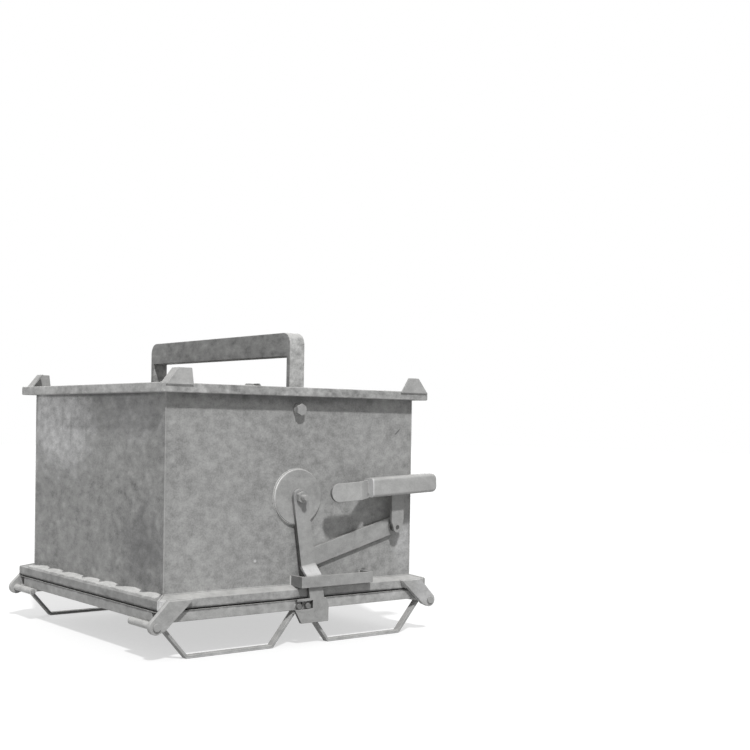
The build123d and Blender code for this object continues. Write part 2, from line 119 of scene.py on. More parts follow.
def smooth(piece, angle):
    """Curves run smooth up to this angle between faces, in degrees."""
    take(piece)
    bpy.ops.object.shade_smooth_by_angle(angle=math.radians(angle))
    return piece


# Weld runs: the length, height and unevenness of a ripple, as shares of the weld's leg. A long run is cut
# up in stretches of this many ripples.
ripple_pitch = 1.5
ripple_swell = 0.22
ripple_unevenness = 0.09
ripples_each = 50
weld_seeds = itertools.count(1)


def ringed_rod(name, start, end, radius, spacing, swell, sides):
    """A round rod cut into short rings, by stretches if it is long, with every other ring swollen."""
    start, end = Vector(start), Vector(end)
    run = end - start
    ripples = max(2, round(run.length / spacing))
    stretches = math.ceil(ripples / ripples_each)
    rows_each = 2 * math.ceil(ripples / stretches)
    rows = stretches * rows_each
    clear()
    bpy.ops.mesh.primitive_cylinder_add(
        vertices=sides, radius=radius, depth=run.length, location=(start + end) / 2,
        rotation=run.to_track_quat("Z", "Y").to_euler())
    rod = bpy.context.active_object
    rod.name = name
    for parts in (stretches, rows_each):
        pick(rod, "EDGE", lambda a, b: abs(a.z - b.z) > 0.5 * run.length / rows)
        if parts > 1:
            bpy.ops.mesh.subdivide(number_cuts=parts - 1)
    pick(rod, "VERT", lambda p: round((p.z / run.length + 0.5) * rows) % 2 == 1)
    bpy.ops.transform.shrink_fatten(value=swell)
    return rod


def weathered_bead(bead, leg):
    """A rippled bead made uneven all over and smooth."""
    bpy.ops.mesh.select_all(action="SELECT")
    bpy.ops.transform.vertex_random(offset=ripple_unevenness * leg, seed=next(weld_seeds))
    return smooth(settle(bead), angle=60)


def seam(start, end, leg):
    """A run of weld metal between two points."""
    bead = ringed_rod("seam", start, end, leg, ripple_pitch * leg, ripple_swell * leg, sides=8)
    return weathered_bead(bead, leg)


def put(tree, kind, inputs, **settings):
    """One shader node, set up, with its inputs filled from values or other nodes' outputs."""
    node = tree.nodes.new("ShaderNode" + kind)
    for key, value in settings.items():
        setattr(node, key, value)
    for key, value in inputs.items():
        if isinstance(value, bpy.types.NodeSocket):
            tree.links.new(value, node.inputs[key])
        else:
            node.inputs[key].default_value = value
    return node


def sums(tree, how, a, b):
    """Two values put together by one operation."""
    return put(tree, "Math", {0: a, 1: b}, operation=how).outputs[0]


def vectors(tree, how, a, b):
    """A node that puts two vectors together by one operation."""
    return put(tree, "VectorMath", {0: a, 1: b}, operation=how).outputs


def ranged(tree, value, low, high, to_low=0.0, to_high=1.0):
    """The value brought from one range to another, eased at both ends."""
    wants = {"Value": value, "From Min": low, "From Max": high, "To Min": to_low, "To Max": to_high}
    return put(tree, "MapRange", wants, interpolation_type="SMOOTHSTEP").outputs[0]


def cloud(tree, place, size, detail):
    """Soft noise with features of about this size, in metres."""
    wants = {"Vector": place, "Scale": 1 / size, "Detail": detail, "Roughness": 0.6}
    return put(tree, "TexNoise", wants).outputs[0]


def swing(tree, place, size, detail):
    """The same noise, up and down about zero."""
    return sums(tree, "SUBTRACT", cloud(tree, place, size, detail), 0.5)


def over(tree, mask, under, upper, how="MIX"):
    """One colour laid over another through a mask."""
    return put(tree, "Mix", {0: mask, 6: under, 7: upper}, data_type="RGBA", blend_type=how).outputs[2]


def effect(name, wants, gives):
    """An empty shader group with number or vector inputs and number outputs."""
    tree = bpy.data.node_groups.new(name, "ShaderNodeTree")
    for label, value in wants.items():
        kind = "NodeSocketFloat" if isinstance(value, float) else "NodeSocketVector"
        tree.interface.new_socket(label, in_out="INPUT", socket_type=kind).default_value = value
    for label in gives:
        tree.interface.new_socket(label, in_out="OUTPUT", socket_type="NodeSocketFloat")
    return tree, tree.nodes.new("NodeGroupInput").outputs, tree.nodes.new("NodeGroupOutput").inputs


def placed(tree, group, inputs):
    """A shader group placed in a material."""
    return put(tree, "Group", inputs, node_tree=group).outputs


# Chalky paint: broad blotches, small mottles, downward streaks and fine grain round a tone of 1.
chalk, wants, gives = effect(
    "chalky_paint", {"Blotch": 0.2, "Mottle": 0.3, "Streak": 0.0, "Grain": 0.1}, ("Tone", "Relief"))
spot = put(chalk, "TexCoord", {}).outputs["Object"]
broad = swing(chalk, spot, size=0.26, detail=5)
small = swing(chalk, spot, size=0.05, detail=4)
flecks_at = put(chalk, "Mapping", {"Vector": spot, "Scale": (0.8, 0.55, 1.0)}).outputs[0]
flecks = swing(chalk, flecks_at, size=0.026, detail=6)
fine = cloud(chalk, spot, size=0.005, detail=2)
runs_at = put(chalk, "Mapping", {"Vector": spot, "Scale": (30, 30, 1.4)}).outputs[0]
runs = swing(chalk, runs_at, size=1.0, detail=3)
blotches = sums(chalk, "MULTIPLY", sums(chalk, "ADD", broad, small), wants["Blotch"])
mottles = sums(chalk, "MULTIPLY", flecks, wants["Mottle"])
streaks = sums(chalk, "MULTIPLY", runs, wants["Streak"])
grains = sums(chalk, "MULTIPLY", sums(chalk, "SUBTRACT", fine, 0.5), wants["Grain"])
tone = sums(chalk, "ADD", sums(chalk, "ADD", blotches, streaks), sums(chalk, "ADD", grains, mottles))
chalk.links.new(sums(chalk, "ADD", tone, 1.0), gives["Tone"])
chalk.links.new(sums(chalk, "ADD", fine, small), gives["Relief"])

# Dust lies on what faces up, thin and patchy.
dusting, wants, gives = effect("settled_dust", {"Cover": 0.5}, ("Mask",))
axes = put(dusting, "TexCoord", {}).outputs
up = put(dusting, "SeparateXYZ", {0: axes["Normal"]}).outputs["Z"]
thin_spots = cloud(dusting, axes["Object"], size=0.05, detail=5)
patchy = ranged(dusting, thin_spots, 0.25, 0.6, to_low=0.55)
lying = sums(dusting, "MULTIPLY", ranged(dusting, up, 0.3, 0.85), patchy)
dusting.links.new(sums(dusting, "MULTIPLY", lying, wants["Cover"]), gives["Mask"])

# Paint rubbed off along edges, in broken lengths.
rubbing, wants, gives = effect("rubbed_edges", {"Reach": 0.004, "Amount": 0.5}, ("Mask",))
rounded = put(rubbing, "Bevel", {"Radius": wants["Reach"]}, samples=6).outputs[0]
facing = put(rubbing, "NewGeometry", {}).outputs["Normal"]
alike = vectors(rubbing, "DOT_PRODUCT", rounded, facing)["Value"]
edge = ranged(rubbing, sums(rubbing, "SUBTRACT", 1.0, alike), 0.02, 0.2)
spot = put(rubbing, "TexCoord", {}).outputs["Object"]
broken = ranged(rubbing, cloud(rubbing, spot, size=0.03, detail=5), 0.42, 0.62)
worn = sums(rubbing, "MULTIPLY", sums(rubbing, "MULTIPLY", edge, broken), wants["Amount"])
rubbing.links.new(worn, gives["Mask"])

# The sides of a plate, where it was cut: all that doesn't face along the plate's axis.
cutting, wants, gives = effect("cut_sides", {"Axis": (0, 1, 0)}, ("Mask",))
axes = put(cutting, "TexCoord", {}).outputs
along = vectors(cutting, "DOT_PRODUCT", axes["Normal"], wants["Axis"])["Value"]
square = put(cutting, "Math", {0: along}, operation="ABSOLUTE").outputs[0]
uneven = sums(cutting, "MULTIPLY", swing(cutting, axes["Object"], size=0.03, detail=4), 0.5)
cutting.links.new(ranged(cutting, sums(cutting, "ADD", square, uneven), 0.62, 0.3), gives["Mask"])

# A mark at one place: a stain, chip or scratch with a soft or ragged edge.
marking, wants, gives = effect(
    "placed_mark",
    {"Centre": (0, 0, 0), "Half": (1, 1, 1), "Turn": (0, 0, 0), "Soft": 0.5, "Ragged": 0.3},
    ("Mask",))
spot = put(marking, "TexCoord", {}).outputs["Object"]
away = vectors(marking, "SUBTRACT", spot, wants["Centre"])[0]
turning = {"Vector": away, "Rotation": wants["Turn"]}
away = put(marking, "VectorRotate", turning, rotation_type="EULER_XYZ").outputs[0]
away = vectors(marking, "DIVIDE", away, wants["Half"])[0]
far = put(marking, "VectorMath", {0: away}, operation="LENGTH").outputs["Value"]
torn = sums(marking, "MULTIPLY", swing(marking, spot, size=0.05, detail=5), wants["Ragged"])
within = sums(marking, "SUBTRACT", 1.0, sums(marking, "ADD", far, torn))
marking.links.new(ranged(marking, within, 0.0, wants["Soft"]), gives["Mask"])


def mark(centre, half, soft, ragged, cover, grey, turn=0.0):
    """A mark's place, half sizes, turn about Y and kind of edge, with how far it covers and its grey."""
    shape = {"Centre": centre, "Half": half, "Turn": (0, turn, 0), "Soft": soft, "Ragged": ragged}
    return shape, cover, grey


# Paint: the grey of bare steel and of dust, and what dust, rubbing and age do to its tint, roughness,
# metal and skin.
steel_grey = (0.40, 0.40, 0.395, 1)
dust_grey = (0.56, 0.555, 0.54, 1)
yellowing = 0.985
roughness_swing = 0.08
dust_dulls = 0.25
rubbing_polishes = 0.2
rubbed_metal = 0.8
skin_depth = 0.0012
paint_gloss = 0.3


def tinted(grey):
    """A paint grey, a trace yellower than neutral."""
    return (grey, grey, grey * yellowing, 1)


def paint(name, grey, blotch=0.5, mottle=0.7, streak=0.0, grain=0.35, dust=0.5, rub=0.5, rough=0.62,
          bump=0.25, cut=None, marks=()):
    """Weathered paint: its grey, how uneven, dusty and rubbed it is, its cut sides and any marks on it."""
    finish = bpy.data.materials.new(name)
    finish.use_nodes = True
    tree = finish.node_tree
    shader = tree.nodes["Principled BSDF"]
    tones = placed(tree, chalk, {"Blotch": blotch, "Mottle": mottle, "Streak": streak, "Grain": grain})
    colour = tinted(grey)
    if cut:
        axis, cut_grey, amount = cut
        sides = sums(tree, "MULTIPLY", placed(tree, cutting, {"Axis": axis})["Mask"], amount)
        colour = over(tree, sides, colour, tinted(cut_grey))
    colour = over(tree, 1.0, colour, tones["Tone"], "MULTIPLY")
    for shape, cover, mark_grey in marks:
        mask = sums(tree, "MULTIPLY", placed(tree, marking, shape)["Mask"], cover)
        marked = over(tree, 1.0, (mark_grey, mark_grey, mark_grey, 1), tones["Tone"], "MULTIPLY")
        colour = over(tree, mask, colour, marked)
    lying = placed(tree, dusting, {"Cover": dust})["Mask"]
    rubbed = placed(tree, rubbing, {"Amount": rub})["Mask"]
    colour = over(tree, lying, colour, dust_grey)
    colour = over(tree, rubbed, colour, steel_grey)
    tree.links.new(colour, shader.inputs["Base Color"])
    dry = ranged(tree, tones["Tone"], 0.8, 1.2, rough - roughness_swing, rough + roughness_swing)
    dry = sums(tree, "ADD", dry, sums(tree, "MULTIPLY", lying, dust_dulls))
    dry = sums(tree, "SUBTRACT", dry, sums(tree, "MULTIPLY", rubbed, rubbing_polishes))
    tree.links.new(dry, shader.inputs["Roughness"])
    tree.links.new(sums(tree, "MULTIPLY", rubbed, rubbed_metal), shader.inputs["Metallic"])
    skin = put(tree, "Bump", {"Height": tones["Relief"], "Strength": bump, "Distance": skin_depth})
    tree.links.new(skin.outputs[0], shader.inputs["Normal"])
    shader.inputs["Specular IOR Level"].default_value = paint_gloss
    return finish


def fit(piece, finish, body, slot, *nodes):
    """The piece gets its finish, rides on its body and stands for its plain solids."""
    piece.data.materials.clear()
    piece.data.materials.append(finish)
    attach(piece, body)
    if nodes:
        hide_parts(*nodes)


# On the front wall: pale patches high up, painted light that lifts the rim's shadow there; a darker patch
# low down towards the latch corner; runs below the rim; two small dark patches just under it; and a painted
# shadow in the angle under the rim.
front_marks = (
    mark((front_face, middle.y + 0.28, 0.755), (0.1, 0.40, 0.26), 0.6, 1.2, cover=1.0, grey=0.49),
    mark((front_face, middle.y + 0.34, 0.800), (0.1, 0.36, 0.110), 0.45, 0.8, cover=1.0, grey=0.62),
    mark((front_face, middle.y - 0.27, 0.775), (0.1, 0.30, 0.13), 0.6, 1.2, cover=0.8, grey=0.36),
    mark((front_face, middle.y - 0.36, 0.330), (0.1, 0.27, 0.22), 0.9, 1.4, cover=0.9, grey=0.19),
    mark((front_face, middle.y + 0.195, 0.715), (0.1, 0.010, 0.10), 0.7, 0.9, cover=0.45, grey=0.30),
    mark((front_face, middle.y + 0.265, 0.740), (0.1, 0.007, 0.07), 0.7, 0.9, cover=0.40, grey=0.32),
    mark((front_face, middle.y + 0.345, 0.700), (0.1, 0.012, 0.12), 0.7, 0.9, cover=0.35, grey=0.60),
    mark((front_face, middle.y + 0.070, 0.690), (0.1, 0.014, 0.13), 0.8, 0.9, cover=0.35, grey=0.28),
    mark((front_face, middle.y - 0.010, 0.818), (0.1, 0.045, 0.018), 0.7, 1.2, cover=0.7, grey=0.22),
    mark((front_face, middle.y - 0.190, 0.800), (0.1, 0.060, 0.035), 0.7, 1.4, cover=0.7, grey=0.22),
    mark((front_face, middle.y, 0.834), (0.1, 0.80, 0.011), 0.7, 0.5, cover=0.8, grey=0.14),
)
# On the handle's side: a pale chip, a scratch, a dark spot, a painted shadow under the rim that deepens the
# rim's cast one, and a chalked patch.
latch_marks = (
    mark((-0.163, latch_face, 0.2895), (0.007, 0.02, 0.0065), 0.6, 0.3, cover=0.9, grey=0.62),
    mark((0.436, latch_face, 0.7205), (0.022, 0.02, 0.0034), 0.5, 0.3, cover=0.85, grey=0.11, turn=0.733),
    mark((0.2886, latch_face, 0.2350), (0.013, 0.02, 0.006), 0.6, 0.6, cover=0.8, grey=0.13, turn=0.1),
    mark((0.0, latch_face, 0.835), (0.62, 0.02, 0.034), 0.8, 0.6, cover=0.75, grey=0.165),
    mark((0.480, latch_face, 0.320), (0.075, 0.02, 0.150), 0.8, 0.6, cover=0.8, grey=0.40),
)
wall_finish = {
    "front_wall": paint(
        "front_wall_paint", 0.302, blotch=0.8, mottle=1.7, streak=0.1, grain=1.0, dust=0.2,
        marks=front_marks),
    "rear_wall": paint(
        "rear_wall_paint", 0.315, blotch=0.8, mottle=1.5, streak=0.15, grain=0.8, dust=0.2),
    "latch_wall": paint(
        "latch_wall_paint", 0.303, blotch=0.5, mottle=1.1, streak=0.1, grain=0.65, dust=0.2,
        marks=latch_marks),
    "plain_wall": paint(
        "plain_wall_paint", 0.308, blotch=0.5, mottle=1.1, streak=0.2, grain=0.6, dust=0.2),
}
inside_finish = paint(
    "scoured_inside", 0.27, blotch=0.8, mottle=0.6, streak=0.7, grain=0.5, dust=0.9, rub=0.8, rough=0.6,
    bump=0.5)
# Each dent: its place along the wall, its height, its depth inwards and its reach.
wall_dents = {
    "front_wall": ((-0.15, 0.55, 0.0025, 0.30), (0.25, 0.40, 0.0020, 0.20), (-0.30, 0.36, 0.0015, 0.14)),
    "rear_wall": ((0.10, 0.50, 0.0025, 0.30), (-0.25, 0.62, -0.0015, 0.18), (0.30, 0.34, 0.0018, 0.12)),
    "latch_wall": ((-0.26, 0.50, 0.0016, 0.22), (0.30, 0.68, 0.0012, 0.13)),
    "plain_wall": ((-0.28, 0.48, 0.0022, 0.22), (0.28, 0.52, 0.0018, 0.24)),
}
for node, dents in wall_dents.items():
    low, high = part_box(node)
    thin = 0 if high.x - low.x < high.y - low.y else 1
    inward = 1 if low[thin] < middle[thin] else -1
    sheet = block(node + "_sheet", low, high)
    bpy.ops.object.mode_set(mode="EDIT")
    bpy.ops.mesh.subdivide(number_cuts=sheet_cuts)
    for along, height, depth, reach in dents:
        centre = Vector((along, along + middle.y, height))
        centre[thin] = low[thin]
        pick(sheet, "VERT", lambda p: (p - centre).length < dent_core)
        push = Vector((0, 0, 0))
        push[thin] = inward * depth
        bpy.ops.transform.translate(
            value=push, use_proportional_edit=True, proportional_edit_falloff="SMOOTH",
            proportional_size=reach)
    smooth(sheet, angle=40)
    fit(sheet, wall_finish[node], "shell", "body_paint", node)
    sheet.data.materials.append(inside_finish)
    for face in sheet.data.polygons:
        if face.normal[thin] * inward > facing_in:
            face.material_index = 1

seam_finish = paint("painted_welds", 0.34, blotch=0.3, dust=0.5, rub=0.3, bump=0.4)
weld_sink = 0.0015
seam_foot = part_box("frame_latch")[1].z + 0.004
seam_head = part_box("rim_latch")[0].z + 0.002
corner_seams = []
for x in (wall_ends[0] + weld_sink, wall_ends[1] - weld_sink):
    for y in (wall_sides[0] + weld_sink, wall_sides[1] - weld_sink):
        corner_seams.append(seam((x, y, seam_foot), (x, y, seam_head), leg=0.0032))
fit(joined("wall_corner_welds", corner_seams), seam_finish, "shell", "body_paint")

# The bottom frame: four hollow steel bars with a sloping top, mitred and welded at the corners. The
# slopes carry pale dust, and at the front a bed of dried mortar lies against the wall in low scallops.
frame_low, frame_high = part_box("frame_latch")
frame_sides = (frame_low.y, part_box("frame_plain")[1].y)
bar_width = latch_face - frame_low.y
frame_slope = 0.012
weld_stop = 0.002
touch = 1e-5
frame_shoulder = frame_high.z - frame_slope
flap_gap = (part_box("flap_floor_front")[1].z + frame_low.z) / 2
endless = 5
# Painted shade along the gap between the frame and the flaps, laid on both.
painted_gap_shade = mark((0, 0, flap_gap), (endless, endless, 0.0110), 0.6, 1.0, cover=0.8, grey=0.06)
corner_mortar = mark((-0.531, frame_low.y, 0.181), (0.034, 0.03, 0.026), 0.5, 0.7, cover=0.95, grey=0.62)
# The front frame is painted darker where its slope meets the wall.
wall_angle_darkening = mark((front_face, 0, 0.203), (0.020, endless, 0.020), 0.6, 0.6, cover=0.9, grey=0.17)
frame_finish = paint(
    "frame_paint", 0.335, blotch=0.6, mottle=1.2, grain=0.5, dust=0.55, rub=0.45,
    marks=(painted_gap_shade, corner_mortar))
front_frame_finish = paint(
    "front_frame_paint", 0.315, blotch=0.8, mottle=1.6, grain=0.6, dust=0.12, rub=0.45,
    marks=(painted_gap_shade, wall_angle_darkening))


def even_shading(piece, angle):
    """Curves run smooth up to this angle between faces, and the large faces stay flat."""
    smooth(piece, angle)
    evening = piece.modifiers.new("even_shading", "WEIGHTED_NORMAL")
    evening.keep_sharp = True
    bpy.ops.object.modifier_apply(modifier=evening.name)
    return piece


def mitred_bar(node, slope, edge):
    """A bar between two mitres, with rounded long edges and, on the frame, a top that falls outwards."""
    low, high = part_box(node)
    bar = block(node + "_bar", low, high)
    along = 0 if high.x - low.x > high.y - low.y else 1
    across = 1 - along
    inner = high[across] if low[across] < middle[across] else low[across]
    for end, way in ((low[along], 1), (high[along], -1)):
        pick(bar, "VERT", lambda p: abs(p[across] - inner) < touch and abs(p[along] - end) < touch)
        push = Vector((0, 0, 0))
        push[along] = way * bar_width
        bpy.ops.transform.translate(value=push)
    if slope:
        pick(bar, "VERT", lambda p: abs(p[across] - inner) > touch and abs(p.z - high.z) < touch)
        bpy.ops.transform.translate(value=(0, 0, -slope))
    pick(bar, "EDGE", lambda a, b: abs(a[along] - b[along]) > 2 * bar_width)
    bpy.ops.mesh.bevel(offset=edge, segments=3, affect="EDGES")
    return even_shading(bar, angle=35)


for side in ("latch", "rear", "plain", "front"):
    bar = mitred_bar("frame_" + side, slope=frame_slope, edge=0.002)
    finish = front_frame_finish if side == "front" else frame_finish
    fit(bar, finish, "shell", "body_paint", "frame_" + side)

frame_seams = []
for x, inner_x in ((frame_low.x, frame_low.x + bar_width), (frame_high.x, frame_high.x - bar_width)):
    for y, inner_y in zip(frame_sides, wall_sides):
        frame_seams.append(seam((x, y, frame_low.z), (x, y, frame_shoulder), leg=0.0026))
        frame_seams.append(seam((x, y, frame_shoulder), (inner_x, inner_y, frame_high.z), leg=0.0026))
side_start, side_end = wall_ends[0] + weld_stop, wall_ends[1] - weld_stop
for y in wall_sides:
    frame_seams.append(seam((side_start, y, frame_high.z), (side_end, y, frame_high.z), leg=0.0022))
rear_start, rear_end = [(wall_ends[1], y, frame_high.z) for y in wall_sides]
frame_seams.append(seam(rear_start, rear_end, leg=0.0022))
fit(joined("frame_welds", frame_seams), frame_finish, "shell", "body_paint")

mortar_finish = paint(
    "dried_mortar", 0.60, blotch=0.6, mottle=1.2, grain=0.8, dust=0.5, rub=0.0, rough=0.85, bump=0.9)
mortar_start, mortar_end = wall_sides[0] + 0.004, wall_sides[1] - 0.004
mortar_lip, mortar_back = -0.530, front_face + 0.0015
mortar_foot, mortar_top = 0.187, 0.2004
mortar_fall = 0.0050
mortar_rows = 100
row_reach = 0.0005
scallop_rows = 14.3
scallop_height = 0.0062
scallop_crest = 0.32
mortar_low = (mortar_lip, mortar_start, mortar_foot)
mortar_high = (mortar_back, mortar_end, mortar_top)
mortar = block("front_mortar_bed", mortar_low, mortar_high)
half_way = (mortar_lip + mortar_back) / 2
half_up = (mortar_foot + mortar_top) / 2
pick(mortar, "VERT", lambda p: p.x < half_way and p.z > half_up)
bpy.ops.transform.translate(value=(0, 0, -mortar_fall))
pick(mortar, "EDGE", lambda a, b: abs(a.y - b.y) > touch)
bpy.ops.mesh.subdivide(number_cuts=mortar_rows - 1)
# Each scallop rises fast and falls slowly. Their spacing and size and the bed's lip wander.
for place in range(mortar_rows + 1):
    y = mortar_start + (mortar_end - mortar_start) * place / mortar_rows
    step = (place / scallop_rows + 0.10 * math.sin(0.15 * place)) % 1
    heap = min(step / scallop_crest, (1 - step) / (1 - scallop_crest)) ** 0.9
    size = (0.8 + 0.2 * math.sin(0.37 * place + 1.0)) * min(1, 0.6 + place / 15)
    pick(mortar, "VERT", lambda p: p.x > half_way and p.z > half_up and abs(p.y - y) < row_reach)
    bpy.ops.transform.translate(value=(0, 0, scallop_height * heap * size))
    pick(mortar, "VERT", lambda p: p.x < half_way and abs(p.y - y) < row_reach)
    wander = 0.003 * math.sin(0.6 * place) * math.sin(0.18 * place)
    bpy.ops.transform.translate(value=(wander, 0, 0))
bpy.ops.mesh.select_all(action="SELECT")
bpy.ops.transform.vertex_random(offset=0.0003, seed=4)
fit(smooth(mortar, angle=50), mortar_finish, "shell", "body_paint")

# The rim: four hollow bars, wider than high, round the outside of the walls' top, mitred, welded and
# dressed. It stiffens the box and carries the next one. Stitches of weld join it to the sheets on top.
rim_finish = paint("rim_paint", 0.325, blotch=0.9, mottle=2.0, grain=0.6, dust=0.65, rub=0.6)
# The front and rear rims are painted lighter than the side rims: painted light that makes up for the weaker
# light on the ends.
rim_end_finish = paint("rim_end_paint", 0.45, blotch=0.8, mottle=1.8, grain=0.6, dust=0.65, rub=0.6)
for side in ("latch", "rear", "plain", "front"):
    bar = mitred_bar("rim_" + side, slope=0, edge=0.003)
    finish = rim_end_finish if side in ("front", "rear") else rim_finish
    fit(bar, finish, "shell", "body_paint", "rim_" + side)

rim_low, rim_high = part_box("rim_latch")
dressed_by = 0.0012
rim_flat = rim_high.z - 0.0014
stitch_half = 0.03
stitch_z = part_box("latch_wall")[1].z - 0.001
rim_seams = []
for x, inner_x, in_x in ((rim_low.x, rim_low.x + bar_width, 1), (rim_high.x, rim_high.x - bar_width, -1)):
    for y, inner_y, in_y in zip(frame_sides, wall_sides, (1, -1)):
        corner_x, corner_y = x + in_x * dressed_by, y + in_y * dressed_by
        upright = (corner_x, corner_y, rim_low.z + weld_stop), (corner_x, corner_y, rim_high.z - weld_stop)
        rim_seams.append(seam(*upright, leg=0.0022))
        rim_seams.append(seam((corner_x, corner_y, rim_flat), (inner_x, inner_y, rim_flat), leg=0.0022))
for place in (-0.4, -0.2, 0, 0.2, 0.4):
    start, end = place - stitch_half, place + stitch_half
    for y in wall_sides:
        rim_seams.append(seam((start, y, stitch_z), (end, y, stitch_z), leg=0.0025))
    for x in wall_ends:
        rim_seams.append(seam((x, middle.y + start, stitch_z), (x, middle.y + end, stitch_z), leg=0.0025))
fit(joined("rim_welds", rim_seams), rim_finish, "shell", "body_paint")

# The stacking corners: thick plate cut to a sloped outline with one edge folded, each lapped and welded
# on the rim's face at a corner, so that the feet of another container drop in between them.
corner_lean = 0.043 / 0.053
plate_stop = 0.003
sharp_angle = 32


def tidy_mesh(piece):
    """Points that lie together become one, and flat faces become whole."""
    take(piece)
    bpy.ops.object.mode_set(mode="EDIT")
    bpy.ops.mesh.select_all(action="SELECT")
    bpy.ops.mesh.remove_doubles(threshold=0.00001)
    bpy.ops.mesh.dissolve_limited(angle_limit=math.radians(1))
    bpy.ops.object.mode_set(mode="OBJECT")
    return piece


def copied(node):
    """A copy of the plain solid with its triangles joined up."""
    piece = bpy.data.objects.new(node + "_dressed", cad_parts[node].data.copy())
    bpy.context.scene.collection.objects.link(piece)
    return tidy_mesh(piece)


def broken_edges(piece, edge):
    """The piece's sharp edges are taken off, and its curves run smooth."""
    take(piece)
    if edge:
        cut = piece.modifiers.new("broken_edges", "BEVEL")
        cut.width = edge
        cut.segments = 2
        cut.limit_method = "ANGLE"
        cut.angle_limit = math.radians(sharp_angle)
        cut.use_clamp_overlap = False
        bpy.ops.object.modifier_apply(modifier=cut.name)
    return even_shading(piece, angle=35)


def dress(node, finish, body, slot, edge):
    """A copy of the plain solid with its sharp edges taken off stands for it, in its finish."""
    fit(broken_edges(copied(node), edge), finish, body, slot, node)


corner_finish = paint("stacking_corner_paint", 0.39, dust=0.6, rub=0.8)
corner_seams = []
for end, out in (("front", -1), ("rear", 1)):
    for side, rim_y in zip(("latch", "plain"), frame_sides):
        node = "stacking_corner_" + end + "_" + side
        dress(node, corner_finish, "shell", "body_paint", edge=0.0012)
        low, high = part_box(node)
        lip = high.x if out > 0 else low.x
        heel = lip - out * corner_lean * (rim_high.z - low.z)
        back = high.y if side == "latch" else low.y
        start, stop = (low.x + plate_stop, rim_y, low.z), (high.x - plate_stop, rim_y, low.z)
        corner_seams.append(seam(start, stop, leg=0.0028))
        corner_seams.append(seam((heel, rim_y, rim_high.z), (heel, back, rim_high.z), leg=0.0028))
fit(joined("stacking_corner_welds", corner_seams), corner_finish, "shell", "body_paint")


# The bearing discs and cross tube: a round plate welded on each side wall, and between them a tube
# through the load space that keeps the load off the latch shaft.
def ring_seam(centre, radius, leg):
    """A weld run round a pin, boss or disc that stands on a side wall."""
    rings = 2 * round(math.tau * radius / (ripple_pitch * leg))
    clear()
    bpy.ops.mesh.primitive_torus_add(
        major_segments=rings, minor_segments=8, major_radius=radius, minor_radius=leg,
        location=centre, rotation=(math.pi / 2, 0, 0))
    bead = bpy.context.active_object
    pick(bead, "VERT", lambda p: round(math.atan2(p.y, p.x) / math.tau * rings) % 2 == 1)
    bpy.ops.transform.shrink_fatten(value=ripple_swell * leg)
    return weathered_bead(bead, leg)


shaft_z = (sum(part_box("latch_disc"), Vector()) / 2).z
side_axis = (0, 1, 0)
disc_weld_radius = 0.0942
disc_weld_out = 0.0005
# The discs' edges, and the weld round them, are painted far lighter than their faces: a painted highlight
# along the rims.
disc_finish = paint("bearing_disc_paint", 0.338, dust=0.4, rub=0.7, cut=(side_axis, 0.85, 1.0))
disc_seams = []
for side, wall_y, out in zip(("latch", "plain"), wall_sides, (-1, 1)):
    dress(side + "_disc", disc_finish, "shell", "mechanism_paint", edge=0.0040)
    disc_seams.append(ring_seam((0, wall_y + out * disc_weld_out, shaft_z), disc_weld_radius, leg=0.0024))
fit(joined("bearing_disc_welds", disc_seams), disc_finish, "shell", "mechanism_paint")

tube_weld_radius = 0.0305
dress("cross_tube", inside_finish, "shell", "body_paint", edge=0.0008)
tube_seams = [ring_seam((0, end.y, shaft_z), tube_weld_radius, leg=0.004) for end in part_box("cross_tube")]
fit(joined("cross_tube_welds", tube_seams), inside_finish, "shell", "body_paint")

# The latch: one shaft through the box with a bent hook lever clamped on each end by a nut, and on the
# handle side a long release arm welded behind the lever. Thick plate, painted, its flame-cut sides painted
# near-black: partly cut scale, partly painted shade along the edges.
lever_low, lever_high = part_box("latch_lever")
# On the lever: a painted highlight on the bend, and near the shaft its sides painted about as light as its
# faces, which lifts their painted shade there.
lever_marks = (
    mark((0.037, lever_low.y + 0.02, 0.248), (0.075, 0.05, 0.024), 0.6, 0.4, cover=0.9, grey=0.56),
    mark((-0.010, lever_high.y, 0.490), (0.060, 0.06, 0.085), 0.5, 0.4, cover=0.75, grey=0.30),
)
latch_finish = paint(
    "latch_paint", 0.315, dust=0.45, rub=0.9, cut=(side_axis, 0.08, 0.9), marks=lever_marks)
steel_finish = paint(
    "bare_steel", 0.30, blotch=0.6, mottle=0.7, grain=0.5, dust=0.35, rub=1.0, rough=0.5, bump=0.3)
steel_gloss = 0.6
steel_finish.node_tree.nodes["Principled BSDF"].inputs["Specular IOR Level"].default_value = steel_gloss
for node in ("latch_lever", "plain_lever", "release_arm"):
    dress(node, latch_finish, "latch", "mechanism_paint", edge=0.0013)
arm_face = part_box("release_arm")[0].y
arm_weld_top = (0.0558, arm_face, 0.322)
arm_weld_foot = (0.0636, arm_face, 0.270)
arm_seam = seam(arm_weld_top, arm_weld_foot, leg=0.0035)
fit(joined("release_arm_weld", [arm_seam]), latch_finish, "latch", "mechanism_paint")

# Bolts and nuts: the turned face and the depth of thread as shares of the flats and the pitch, and how the
# corners fall away from the face.
turned_face = 0.47
thread_depth = 0.35
corner_fall = 1.8


def boolean(piece, how, tool):
    """The piece is cut by the tool or grown together with it, and the tool is gone."""
    take(piece)
    change = piece.modifiers.new("change", "BOOLEAN")
    change.operation = how
    change.solver = "EXACT"
    change.object = tool
    bpy.ops.object.modifier_apply(modifier=change.name)
    bpy.data.objects.remove(tool)


